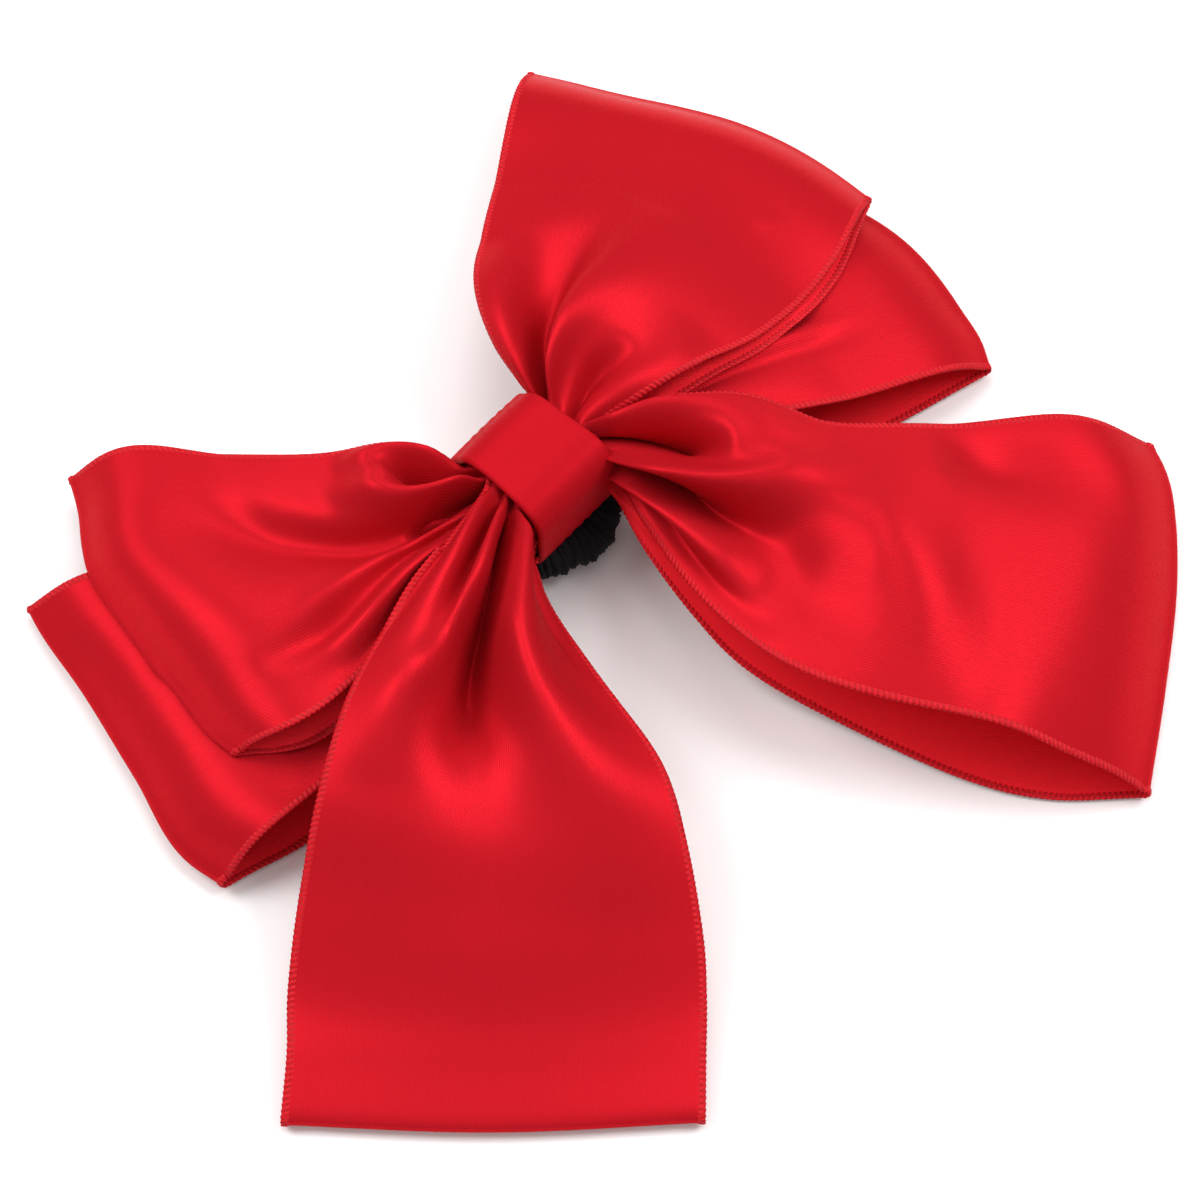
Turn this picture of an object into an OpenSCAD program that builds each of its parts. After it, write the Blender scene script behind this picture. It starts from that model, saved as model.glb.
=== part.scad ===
// Satin hair bow: three looped ribbons gathered at the waist, bound with thread,
// covered by a folded centre wrap, with a ruched elastic hair tie held in the wrap.
// Frame: origin at the centre of the wrap's flat back face, +X along the bow,
// +Y towards the bow's top, +Z out of its front. It lies on its back on a table.

/* [Ribbon] */
// Thickness of the ribbon's plain collision sheet
ribbon_t = 0.6; // [0.5:0.1:1]
// Radius of the soft bend at the far end of each loop
fold_r = 1.5; // [1.2:0.1:1.8]
// How far each sheet crowns upward between its edges
crown = 1.5; // [0:0.5:2]

/* [Knot] */
// Width of the centre wrap, a ribbon folded in four
wrap_w = 19.5; // [18:0.5:20]
// Depth of the wrapped knot, front to back
wrap_h = 24; // [24:0.5:25]
// Breadth of the wrapped knot, top to bottom of the bow
wrap_b = 23; // [22.5:0.5:24]
// Thickness of the folded wrap
wrap_t = 1.4; // [1:0.1:1.5]
// Pleats in each gathered waist
pleats = 6; // [4:1:6]
// Thickness of one gathered waist
waist_h = 3.7; // [3.4:0.1:3.7]
// Turns of binding thread
thread_turns = 7; // [4:1:9]

/* [Hair tie] */
// Radius of the ruched sleeve
tie_r = 3; // [2.6:0.1:3]
// Radius of the elastic core
core_r = 1.8; // [1.2:0.1:1.9]
// Distance between the two runs of the tie
tie_gap = 17; // [16:0.5:18]

/* [Hidden] */
$fn = 48;

satin = [0.80, 0.06, 0.09];
thread_red = [0.62, 0.03, 0.06];
tie_black = [0.03, 0.03, 0.035];

table_z = -5.6;          // the table's height below the wrap's back face
wrap_corner = [9, 5.6];   // outer corner radii of the wrap's section, at its back and its front
overlap_t = 1.2;         // extra thickness where the wrap's end laps over itself
thread_t = 0.5;          // binding thread
stack_z = 10.7;          // underside of the gathered waists
pleat_step = 2.6;        // spacing of the pleats across the waist
tie_axis = [1, 5.6];     // y and z of the run of the tie that is inside the wrap
tie_right = 6.6;         // where the right bend of the tie starts
tie_left = -16;          // where the left bend starts
core_gap = 0.1;          // room between the core and its sleeve
along_n = 14;            // rings along each sheet of a loop
bend_n = 5;              // rings round the far bend
across_n = 4;            // strips across the ribbon
neck_gap = 1.1;          // half the distance between a loop's two sheets at the neck

function waist_z(layer) = stack_z + waist_h * (layer + 0.5);

// ---------- smooth curves ----------
function clamp(v, lo, hi) = max(lo, min(hi, v));
function catmull(a, b, c, d, f) =
    0.5 * (2 * b + (c - a) * f + (2 * a - 5 * b + 4 * c - d) * f * f + (3 * b - a - 3 * c + d) * f * f * f);
// The point at t, from 0 to 1, on a smooth curve through the given points.
function along(p, t) =
    let (n = len(p) - 1, s = clamp(t, 0, 1) * n, i = min(floor(s), n - 1), f = s - i)
    catmull(p[max(i - 1, 0)], p[i], p[i + 1], p[min(i + 2, n)], f);

// ---------- ribbon loops ----------
// top and foot are the edges of the front sheet, from the neck to the far fold, as [x, y, height above the table].
// back_top and back_foot are heights of the back sheet's edges above the table at even steps between its ends.
// lean moves the middle of the back sheet sideways.
function ends_of(edge, mid) =
    let (n = len(edge) - 1)
    concat([edge[0].z - 2 * neck_gap], mid, [edge[n].z - 2 * fold_r]);
function front_point(l, t, v) =
    let (a = along(l[0], t), b = along(l[1], t))
    a + (b - a) * v + [0, 0, crown * sin(180 * v) * sin(180 * t)];
function back_point(l, t, v) =
    let (
        a = along(l[0], t), b = along(l[1], t), p = a + (b - a) * v,
        ha = along(ends_of(l[0], l[2]), t), hb = along(ends_of(l[1], l[3]), t)
    )
    [p.x + l[4].x * sin(180 * t), p.y + l[4].y * sin(180 * t), ha + (hb - ha) * v];
function bend_point(l, k, v) =
    let (
        end = front_point(l, 1, v), before = front_point(l, 0.9, v),
        out = [end.x - before.x, end.y - before.y, 0], a = 180 * k / bend_n
    )
    end - [0, 0, fold_r] + fold_r * (cos(a) * [0, 0, 1] + sin(a) * out / norm(out));
// One lengthwise line of the loop: out along the front sheet, round the bend and back.
function line_of(l, v) = concat(
    [for (i = [0:along_n]) front_point(l, i / along_n, v)],
    [for (k = [1:bend_n - 1]) bend_point(l, k, v)],
    [for (i = [along_n:-1:0]) back_point(l, i / along_n, v)]
);
function grid_of(l) = [for (j = [0:across_n]) line_of(l, j / across_n)];
function normal_at(g, j, i) =
    let (
        n = len(g[0]) - 1,
        du = g[j][min(i + 1, n)] - g[j][max(i - 1, 0)],
        dv = g[min(j + 1, across_n)][i] - g[max(j - 1, 0)][i],
        c = cross(du, dv)
    )
    c / norm(c);

module loop_shell(l) {
    g = grid_of(l);
    n = len(g[0]);
    m = across_n + 1;
    skin = [
        for (side = [1, -1]) for (j = [0:m - 1]) for (i = [0:n - 1])
            g[j][i] + side * ribbon_t / 2 * normal_at(g, j, i) + [0, 0, table_z]
    ];
    o = m * n;
    function id(s, j, i) = s * o + j * n + i;
    faces = concat(
        [for (j = [0:m - 2]) for (i = [0:n - 2]) for (f = [
            [id(0, j, i), id(0, j, i + 1), id(0, j + 1, i + 1)],
            [id(0, j, i), id(0, j + 1, i + 1), id(0, j + 1, i)],
            [id(1, j, i), id(1, j + 1, i + 1), id(1, j, i + 1)],
            [id(1, j, i), id(1, j + 1, i), id(1, j + 1, i + 1)]]) f],
        [for (i = [0:n - 2]) for (f = [
            [id(0, 0, i), id(1, 0, i + 1), id(0, 0, i + 1)],
            [id(0, 0, i), id(1, 0, i), id(1, 0, i + 1)],
            [id(0, m - 1, i), id(0, m - 1, i + 1), id(1, m - 1, i + 1)],
            [id(0, m - 1, i), id(1, m - 1, i + 1), id(1, m - 1, i)]]) f],
        [for (j = [0:m - 2]) for (f = [
            [id(0, j, 0), id(0, j + 1, 0), id(1, j + 1, 0)],
            [id(0, j, 0), id(1, j + 1, 0), id(1, j, 0)],
            [id(0, j, n - 1), id(1, j + 1, n - 1), id(0, j + 1, n - 1)],
            [id(0, j, n - 1), id(1, j, n - 1), id(1, j + 1, n - 1)]]) f]
    );
    polyhedron(points = skin, faces = faces, convexity = 6);
}

lower_left = [
    [[-13, 4, 19], [-29, 20, 13], [-52, 40, 6], [-80, 57, 3.5]],
    [[-13, -7, 19], [-40, -12, 13], [-71, -14, 9.5], [-96, -10, 6.5]],
    [13, 5, 1], [14, 5, 1.5], [0, -3]
];
lower_right = [
    [[13, 4, 19], [37, 15.5, 13.5], [64, 21, 8], [88, 20, 4.5]],
    [[13, -8, 19], [31, -20, 14], [54, -33, 11], [84, -46, 6]],
    [13, 5, 1], [13, 5, 1.5], [-2, -4]
];
upper_left = [
    [[-14, 8, 23], [-19, 24, 25], [-30, 41, 22], [-43, 58, 14], [-55, 69, 8]],
    [[-15, -4, 23], [-36, -5, 21], [-58, -6, 19.5], [-78, 2, 14]],
    [19, 14, 8], [19, 16.5, 13.5], [0, -2]
];
upper_right = [
    [[14, 9, 23], [18, 26, 23], [33, 43, 20], [53, 57, 14], [73, 69, 6]],
    [[14, -3, 23], [38, -9, 22], [66, -11, 18], [95, -4, 12]],
    [19, 14, 8], [19, 16, 12], [0, -2]
];
front_left = [
    [[-17, 0, 26.7], [-38, -3, 26.5], [-61, -10, 25], [-93, -28, 18], [-121, -49, 5]],
    [[-15.5, -13, 26.7], [-21, -37, 27], [-30, -60, 26], [-48, -85, 17], [-70, -105, 5]],
    [22, 14, 3], [20, 9, 1.5], [6, -8]
];
front_right = [
    [[17, -5, 26.7], [38, -23, 25.5], [58, -48, 21], [80, -69, 12], [94, -82, 5]],
    [[12, -15, 26.7], [-3, -36, 28], [-7, -63, 30], [11, -95, 26], [33, -124, 5]],
    [20, 9, 2], [18, 5, 1], [-6, -6]
];

module satin_loop(l) {
    color(satin) loop_shell(l);
}

// ---------- knot ----------
// A rounded rectangle made of true arcs, centred on the given height.
module rounded(w, h, r) {
    square([w - 2 * r, h], center = true);
    square([w, h - 2 * r], center = true);
    for (x = [-1, 1]) for (y = [-1, 1]) translate([x * (w / 2 - r), y * (h / 2 - r)]) circle(r);
}

// Turns a YZ outline into a bar along X, centred on x.
module bar(x, length) {
    translate([x - length / 2, 0, 0]) rotate([90, 0, 90]) linear_extrude(length) children();
}

// The wrap's section, moved inward by the given distance, with its own corner radius at the back and the front.
module wrap_outline(inset) {
    w = wrap_b - 2 * inset;
    h = wrap_h - 2 * inset;
    for (side = [0, 1]) intersection() {
        rounded(w, h, wrap_corner[side] - inset);
        translate([0, (side - 0.5) * h / 2]) square([w, h / 2], center = true);
    }
}

module centre_wrap() {
    color(satin) difference() {
        bar(0, wrap_w) translate([0, wrap_h / 2]) union() {
            wrap_outline(0);
            translate([wrap_b / 2 - 0.1, -1.5]) square([2 * overlap_t, 5], center = true);
        }
        bar(0, wrap_w + 2) translate([0, wrap_h / 2]) wrap_outline(wrap_t);
    }
}

// Short whip stitches over the lapped end of the wrap, on the side towards the bow's top.
module wrap_stitches() {
    stitch_n = 5;
    color(thread_red) for (i = [0:stitch_n - 1])
        translate([(i - (stitch_n - 1) / 2) * 3.4, wrap_b / 2 + 0.25, wrap_h / 2 - 5.6])
            rotate([0, 24, 0]) cylinder(h = 1.5, r = 0.22, center = true, $fn = 24);
}

module waist(layer) {
    color(satin) bar(0, wrap_w) translate([0, waist_z(layer)]) {
        for (i = [0:pleats - 1]) translate([(i - (pleats - 1) / 2) * pleat_step, 0]) circle(waist_h / 2 - 0.02);
    }
}

module waist_thread() {
    inner_b = (pleats - 1) * pleat_step + waist_h + 0.1;
    inner_h = 3 * waist_h + 0.1;
    color(thread_red) for (i = [0:thread_turns - 1])
        bar((i - (thread_turns - 1) / 2) * 1.1, thread_t * 1.6) translate([0, stack_z + 1.5 * waist_h])
            difference() {
                rounded(inner_b + 2 * thread_t, inner_h + 2 * thread_t, 1.9 + thread_t);
                rounded(inner_b, inner_h, 1.9);
            }
}

// ---------- hair tie ----------
tie_tilt = asin((tie_axis[1] - table_z - tie_r) / tie_gap);

// An oval ring of round section, in its own plane, with one run on the X axis.
module oval_ring(r) {
    run = tie_right - tie_left;
    for (y = [0, -tie_gap]) translate([tie_left, y, 0]) rotate([0, 90, 0]) cylinder(h = run, r = r);
    translate([tie_right, -tie_gap / 2, 0]) rotate([0, 0, -90])
        rotate_extrude(angle = 180) translate([tie_gap / 2, 0]) circle(r);
    translate([tie_left, -tie_gap / 2, 0]) rotate([0, 0, 90])
        rotate_extrude(angle = 180) translate([tie_gap / 2, 0]) circle(r);
}

module tie_place() {
    translate([0, tie_axis[0], tie_axis[1]]) rotate([tie_tilt, 0, 0]) children();
}

module hair_tie_sleeve() {
    color(tie_black) tie_place() difference() {
        oval_ring(tie_r);
        oval_ring(core_r + core_gap);
    }
}

module hair_tie_core() {
    color("gray") tie_place() oval_ring(core_r);
}

centre_wrap();
wrap_stitches();
waist_thread();
waist(0);  // lower_waist
waist(1);  // upper_waist
waist(2);  // front_waist
satin_loop(lower_left);  // lower_left_loop
satin_loop(lower_right);  // lower_right_loop
satin_loop(upper_left);  // upper_left_loop
satin_loop(upper_right);  // upper_right_loop
satin_loop(front_left);  // front_left_loop
satin_loop(front_right);  // front_right_loop
hair_tie_sleeve();
hair_tie_core();
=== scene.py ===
"""A satin hair bow: looped ribbons gathered under a folded centre wrap, with a ruched elastic hair tie."""

import math

import bmesh
import bpy
import numpy as np
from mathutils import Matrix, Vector


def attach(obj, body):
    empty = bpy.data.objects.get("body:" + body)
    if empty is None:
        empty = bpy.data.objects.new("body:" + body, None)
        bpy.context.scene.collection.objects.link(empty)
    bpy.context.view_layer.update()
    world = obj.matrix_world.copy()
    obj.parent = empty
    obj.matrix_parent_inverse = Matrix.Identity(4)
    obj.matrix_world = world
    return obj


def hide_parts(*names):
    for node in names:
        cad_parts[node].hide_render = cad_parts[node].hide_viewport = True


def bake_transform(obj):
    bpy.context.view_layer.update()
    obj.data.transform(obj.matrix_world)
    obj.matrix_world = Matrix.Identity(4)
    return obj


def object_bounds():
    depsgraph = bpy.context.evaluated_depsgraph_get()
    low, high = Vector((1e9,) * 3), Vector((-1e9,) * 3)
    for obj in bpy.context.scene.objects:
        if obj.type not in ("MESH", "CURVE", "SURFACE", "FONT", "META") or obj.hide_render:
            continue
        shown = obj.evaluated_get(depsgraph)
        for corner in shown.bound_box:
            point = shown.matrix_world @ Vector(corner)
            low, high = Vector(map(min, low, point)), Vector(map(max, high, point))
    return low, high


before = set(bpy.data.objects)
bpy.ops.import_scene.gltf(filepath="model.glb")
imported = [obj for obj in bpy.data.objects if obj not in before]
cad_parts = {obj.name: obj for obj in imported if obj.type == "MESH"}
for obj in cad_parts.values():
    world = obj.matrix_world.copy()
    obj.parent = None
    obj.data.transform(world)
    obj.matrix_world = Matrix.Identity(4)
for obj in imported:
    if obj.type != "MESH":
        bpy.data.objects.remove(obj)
cad_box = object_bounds()

MM = 0.001
TABLE = cad_box[0][2] / MM      # the table's height in the bow's frame, mm
RIBBON_WIDTH = 75.0             # mm, selvedge to selvedge
RIBBON_THICKNESS = 0.28         # mm
ACROSS = 72                     # cells across a ribbon
BEND_CELLS = 8                  # cells round a far fold
PLEATS = 7                      # gathers across each neck
PLEAT_HEIGHT = 2.3              # mm, from a gather's middle to its crest
PLEAT_REACH = 12                # mm from the middle of the knot to where the gathers have opened out
FULL = 0.95                     # share of the ribbon's width that the small folds bring a row up to
BACK_SLACK = (0, 0.85, 5, 4.6)  # the small folds of each back sheet, like a loop's slack
SHEET_GAP = 1.2                 # mm, the least between a loop's two sheets
LAYER_GAP = 0.5                 # mm, the least between two loops
LOWEST = 0.4                    # mm, the lowest that a ribbon lies above the table
ROUNDS = 12                     # rounds of laying a loop on what is under it
WRAP_INSIDE = np.array([[0, 12 - TABLE], [9.8, 10.0]])  # middle, half size: y, height above the table, mm

# ---------------------------------------------------------------- the six loops
# Each rail is a line along the ribbon from the gathered neck to the far fold, as points (x, y, height above
# the table) in mm: top and foot are the two selvedges, and mid is the ribbon's middle. The back sheet's rails
# run the same way. A fold is a line along the front sheet, as points (t, v, height, half width): t is the
# share of the sheet's length from the neck, v is 0 at the top selvedge and 1 at the foot, the height is in
# mm, and a negative one is a valley. A fifth number is the half width on the foot's side, where the two sides
# differ. Slack is where small folds take up the rest of the front sheet's width: from v, to v, their number,
# and their greatest height in mm. Arch is how far the sheet bulges above its rails shortly before the far
# fold, in mm. End shapes the far fold: at each v, how far it reaches beyond the ends of the rails, in mm.
LOOPS = {
    "lower_left": dict(
        top=[(-7, 6, 18), (-13, 7, 18), (-28, 19, 15), (-52, 40, 9), (-80, 59, 3.5)],
        mid=[(-7, -1, 18.5), (-13, -1, 18.5), (-33, 4, 18), (-62, 13, 14), (-89, 25, 5)],
        foot=[(-7, -8, 18), (-13, -9, 18), (-37, -11, 18), (-71, -13, 14), (-96, -9, 5)],
        back_top=[(-7, 6, 16.5), (-13, 7, 16), (-28, 19, 10), (-53, 39, 3), (-80, 59, 1.5)],
        back_foot=[(-7, -8, 16.5), (-13, -9, 16), (-38, -14, 9), (-72, -15, 2), (-96, -9, 1.5)],
        arch=5.0,
        end=[(0, -1.5), (0.06, -1.2), (0.3, -1.8), (0.6, -1), (0.9, 0), (1, -2.5)],
        slack=(0, 1, 5, 4),
        folds=[
            [(0, 0.3, 3, 0.06), (0.15, 0.3, 3, 0.08), (0.4, 0.3, 1.5, 0.12), (0.6, 0.3, 0, 0.2)],
            [(0, 0.55, -3, 0.06), (0.15, 0.55, -3, 0.08), (0.4, 0.58, -2, 0.12), (0.7, 0.6, 0, 0.2)],
            [(0, 0.8, 3, 0.06), (0.15, 0.8, 4, 0.08), (0.4, 0.82, 3, 0.1), (0.7, 0.8, 0, 0.2)],
        ],
    ),
    "lower_right": dict(
        top=[(7, 6, 18), (13, 7, 18), (36, 15, 16), (62, 20, 10), (84, 19, 5)],
        mid=[(7, -1, 18.5), (13, -2, 18.5), (36, 0, 19), (64, -5, 15), (94, -12, 5)],
        foot=[(7, -8, 18), (13, -9, 18), (31, -19, 19), (53, -32, 16), (84, -45, 4)],
        back_top=[(7, 6, 16.5), (13, 7, 16), (36, 15, 10), (62, 20, 3), (84, 19, 1.5)],
        back_foot=[(7, -8, 16.5), (13, -9, 16), (30, -21, 9), (54, -35, 2), (84, -45, 1.5)],
        arch=3.0,
        end=[(0, 0), (0.5, -1), (0.8, -1.5), (0.95, -0.8), (1, -1.5)],
        slack=(0, 0.85, 5, 5),
        folds=[
            [(0, 0.3, 3, 0.06), (0.15, 0.3, 3, 0.08), (0.4, 0.3, 1.5, 0.12), (0.6, 0.3, 0, 0.2)],
            [(0, 0.55, -3, 0.06), (0.15, 0.55, -3, 0.08), (0.4, 0.55, -2, 0.12), (0.7, 0.5, 0, 0.2)],
            [(0, 0.85, 3, 0.05), (0.15, 0.87, 3, 0.07), (0.4, 0.9, 2, 0.09), (0.6, 0.9, 0, 0.12)],
        ],
    ),
    "upper_left": dict(
        top=[(-7, 7, 22), (-11, 11, 24), (-17, 21, 27), (-28, 34, 24), (-42, 57, 14), (-55, 70, 8)],
        mid=[(-7, 0, 24), (-12, 4, 25), (-26, 11, 28), (-42, 20, 26), (-58, 30, 20), (-67, 37, 13.5)],
        foot=[(-7, -7, 22), (-13, -3, 23), (-32, -2, 26), (-50, -6, 25), (-66, -5, 22), (-79, 3, 16.5)],
        back_top=[(-7, 7, 20), (-12, 10, 20), (-19, 22, 19), (-30, 38, 14), (-43, 58, 9), (-55, 70, 5.5)],
        back_foot=[(-7, -7, 20), (-14, -4, 20), (-33, -6, 20), (-52, -9, 20), (-67, -7, 18), (-79, 3, 15)],
        arch=4.5,
        end=[(0, 0), (0.13, 1.6), (0.25, 4.2), (0.36, 5.8), (0.5, 5.2), (0.65, 4), (0.8, 2.2), (0.94, 0.5),
             (1, -1.5)],
        slack=(0.7, 1, 2, 4),
        folds=[
            [(0, 0.12, 2, 0.05), (0.1, 0.1, 4, 0.06), (0.2, 0.07, 5, 0.07), (0.28, 0.1, 4, 0.08),
             (0.36, 0.14, 0, 0.08)],
            [(0, 0.27, -3, 0.035), (0.09, 0.26, -8, 0.045), (0.17, 0.26, -11, 0.06), (0.22, 0.27, -8, 0.07),
             (0.26, 0.28, 0, 0.08)],
            [(0.22, 0.28, 0, 0.1), (0.26, 0.28, 4, 0.12), (0.3, 0.28, 6, 0.13), (0.34, 0.28, 3, 0.14),
             (0.39, 0.28, 0, 0.14)],
            [(0, 0.42, 4, 0.03), (0.09, 0.43, 7, 0.045), (0.18, 0.48, 7, 0.055), (0.26, 0.48, 6, 0.07),
             (0.34, 0.4, 4, 0.1), (0.44, 0.32, 0, 0.14)],
            [(0, 0.54, -3, 0.03), (0.1, 0.56, -7, 0.04), (0.16, 0.6, -9, 0.055), (0.3, 0.66, -8, 0.08),
             (0.42, 0.6, -7, 0.09), (0.56, 0.48, -5, 0.12), (0.72, 0.36, -3, 0.15), (0.88, 0.3, 0, 0.16)],
            [(0.2, 0.9, 0, 0.1), (0.4, 0.88, 2, 0.14), (0.6, 0.78, 3, 0.18), (0.8, 0.65, 2.5, 0.22),
             (0.96, 0.55, 0, 0.25)],
        ],
    ),
    "upper_right": dict(
        top=[(7, 7, 22), (10, 10, 24), (13, 22, 26), (20, 33, 25), (32, 43, 21), (54, 57, 13), (73, 69, 5)],
        mid=[(7, 0, 24), (11, 4, 25), (21, 11, 28), (35, 17, 28), (52, 23, 24), (70, 29, 15), (88, 37, 7)],
        foot=[(7, -7, 22), (12, -4, 25), (23, -7, 27), (37, -10, 26), (52, -13, 22), (73, -11, 15),
              (95, -4, 9)],
        back_top=[(7, 7, 20), (11, 9, 20), (15, 22, 19), (23, 33, 15), (36, 44, 11), (55, 57, 7),
                  (73, 69, 3)],
        back_foot=[(7, -7, 20), (12, -5, 20), (24, -9, 20), (38, -12, 20), (53, -15, 18), (74, -13, 12),
                   (95, -4, 7)],
        arch=4.5,
        end=[(0, 0), (0.3, -1.8), (0.5, -0.5), (0.6, 0.4), (0.95, 0), (1, -0.6)],
        slack=None,
        folds=[
            [(0, 0.12, 2, 0.06), (0.15, 0.12, 4, 0.09), (0.3, 0.1, 4, 0.12), (0.45, 0.1, 0, 0.15)],
            [(0, 0.27, -4, 0.04), (0.08, 0.29, -8, 0.05), (0.16, 0.33, -10, 0.08, 0.05),
             (0.27, 0.34, -9, 0.13, 0.06), (0.38, 0.36, -6, 0.18, 0.08), (0.5, 0.4, -2, 0.2, 0.1),
             (0.6, 0.42, 0, 0.2, 0.1)],
            [(0, 0.38, 4, 0.03), (0.09, 0.4, 6, 0.035, 0.06), (0.21, 0.44, 7, 0.05, 0.1),
             (0.3, 0.48, 5, 0.07, 0.14), (0.42, 0.54, 3, 0.1, 0.16), (0.6, 0.6, 1.5, 0.16),
             (0.78, 0.62, 0, 0.2)],
            [(0, 0.66, -2, 0.05), (0.07, 0.68, -4, 0.05), (0.13, 0.7, -6.5, 0.06), (0.18, 0.72, -6.5, 0.07),
             (0.22, 0.74, -4, 0.07), (0.27, 0.76, 0, 0.07)],
            [(0, 0.84, 1, 0.06), (0.08, 0.87, 2, 0.07), (0.18, 0.92, 3, 0.08), (0.3, 0.93, 2, 0.08),
             (0.4, 0.9, 0, 0.1)],
        ],
    ),
    "front_left": dict(
        top=[(-7, 5, 26), (-12, 2, 27), (-26, -1, 29), (-39, -3, 29), (-59, -9, 28), (-76, -17, 24),
             (-90, -25, 15.6), (-103, -34, 8.4), (-112, -42, 6), (-121, -49, 4.2)],
        mid=[(-7, -4, 26), (-11.5, -7.5, 27), (-21, -14.5, 28), (-31.5, -23.5, 29), (-48, -36, 30),
             (-60, -46, 26), (-70, -55, 17.6), (-80, -64, 9.8), (-88, -70.5, 6.4), (-96, -77, 4.2)],
        foot=[(-7, -9, 20), (-12, -10.5, 16), (-17.5, -20, 17), (-22.5, -35, 20), (-29, -57, 21.5),
              (-37, -71, 18), (-46, -83, 11.6), (-54, -91, 7.4), (-62, -98, 5.4), (-70, -105, 4.2)],
        back_top=[(-7, 5, 24), (-13, 1, 24), (-27, -3, 24), (-41, -7, 22), (-60, -13, 15), (-77, -21, 8),
                  (-100, -34, 2), (-121, -49, 1)],
        back_foot=[(-7, -9, 18), (-11, -10.5, 14), (-17, -20, 12), (-23, -33, 9), (-31, -53, 5),
                   (-40, -70, 2), (-53, -86, 1), (-70, -105, 1)],
        arch=0.5,
        end=[(0, -2), (0.5, -0.5), (1, -2)],
        slack=None,
        folds=[
            [(0, 0.1, 2, 0.05), (0.08, 0.11, 5, 0.05), (0.2, 0.13, 6, 0.06), (0.32, 0.12, 5, 0.08),
             (0.45, 0.1, 2, 0.12), (0.65, 0.08, 0, 0.14)],
            [(0, 0.18, -2, 0.03), (0.07, 0.17, -6, 0.025), (0.15, 0.18, -6, 0.03), (0.25, 0.19, -3, 0.035),
             (0.35, 0.2, 0, 0.05)],
            [(0, 0.26, 2, 0.03), (0.08, 0.25, 6, 0.04), (0.2, 0.26, 8, 0.045), (0.3, 0.23, 6, 0.05),
             (0.41, 0.17, 3, 0.07), (0.52, 0.15, 0, 0.1)],
            [(0, 0.33, -3, 0.025), (0.07, 0.33, -9, 0.025), (0.16, 0.36, -9, 0.03), (0.22, 0.37, -5, 0.03),
             (0.27, 0.38, 0, 0.04)],
            [(0.15, 0.34, 0, 0.03), (0.21, 0.34, -9, 0.04), (0.27, 0.34, -15, 0.07), (0.34, 0.36, -13, 0.1),
             (0.44, 0.4, -7, 0.14), (0.6, 0.46, -2, 0.2), (0.75, 0.46, 0, 0.2)],
            [(0, 0.41, 4, 0.03, 0.06), (0.1, 0.43, 7, 0.04, 0.1), (0.2, 0.46, 8, 0.04, 0.15),
             (0.27, 0.48, 8, 0.045, 0.18), (0.34, 0.56, 7, 0.055, 0.19), (0.42, 0.68, 5, 0.08, 0.2),
             (0.55, 0.8, 2, 0.12, 0.2), (0.7, 0.8, 0, 0.2, 0.2)],
            [(0, 0.7, -3, 0.04), (0.08, 0.75, -5, 0.05), (0.2, 0.85, -2, 0.06), (0.3, 0.9, 0, 0.06)],
        ],
    ),
    "front_right": dict(
        top=[(7, 4, 26), (12, -4, 27), (22, -12, 29), (34, -22, 29), (43, -36, 26), (53, -46, 24),
             (76, -64, 14), (94, -81, 4)],
        mid=[(7, -4, 26), (12, -10, 26), (17, -24, 29), (22, -41, 31), (29, -56, 31), (38, -70, 28),
             (51, -86, 18), (64, -102, 4)],
        foot=[(7, -9, 20), (10, -13, 18), (6, -23, 19), (1, -39, 22), (-1, -54, 25), (0, -66, 27),
              (5, -79, 27), (16, -97, 23), (24, -110, 12.5), (33, -124, 4)],
        back_top=[(7, 4, 24), (12, -5, 24), (23, -15, 22), (35, -27, 18), (45, -41, 12), (55, -52, 8),
                  (76, -67, 3), (94, -81, 1)],
        back_foot=[(7, -9, 18), (9, -12, 16), (4, -24, 15), (1, -40, 11), (1, -54, 7), (6, -73, 3),
                   (13, -96, 1.5), (21, -111, 1), (33, -124, 1)],
        arch=4.5,
        end=[(0, -4.5), (0.05, -2.4), (0.12, -0.4), (0.22, 1), (0.4, 2), (0.7, 1), (1, -1)],
        slack=None,
        folds=[
            [(0, 0.15, 2, 0.05), (0.06, 0.13, 4, 0.07), (0.16, 0.07, 6, 0.09), (0.25, 0.07, 4, 0.12),
             (0.42, 0.1, 0, 0.15)],
            [(0, 0.4, -3, 0.03), (0.05, 0.39, -8, 0.045), (0.1, 0.36, -12, 0.07), (0.16, 0.32, -12, 0.09),
             (0.21, 0.3, -7, 0.09), (0.26, 0.3, 0, 0.08)],
            [(0.17, 0.3, 0, 0.12), (0.23, 0.28, 3, 0.13), (0.3, 0.26, 3, 0.14), (0.4, 0.25, 0, 0.15)],
            [(0, 0.52, 1, 0.03), (0.05, 0.54, 4, 0.04), (0.14, 0.57, 8, 0.055), (0.21, 0.56, 7, 0.07),
             (0.29, 0.48, 5, 0.08), (0.37, 0.38, 2.5, 0.1), (0.46, 0.32, 0, 0.12)],
            [(0, 0.66, -3, 0.03), (0.05, 0.67, -8, 0.035), (0.11, 0.69, -10, 0.045), (0.2, 0.69, -9, 0.06),
             (0.28, 0.66, -7, 0.09), (0.38, 0.6, -4, 0.13), (0.5, 0.6, 0, 0.14)],
            [(0, 0.8, 3, 0.03), (0.12, 0.8, 5, 0.035), (0.2, 0.81, 4, 0.045), (0.34, 0.84, 0, 0.06)],
            [(0.02, 0.88, 0, 0.02), (0.1, 0.89, -5, 0.02), (0.2, 0.91, -4, 0.025), (0.32, 0.93, -2, 0.03),
             (0.4, 0.94, 0, 0.04)],
            [(0.28, 0.75, 0, 0.12), (0.36, 0.76, -4, 0.14), (0.44, 0.8, -3, 0.14), (0.54, 0.85, 0, 0.14)],
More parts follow.
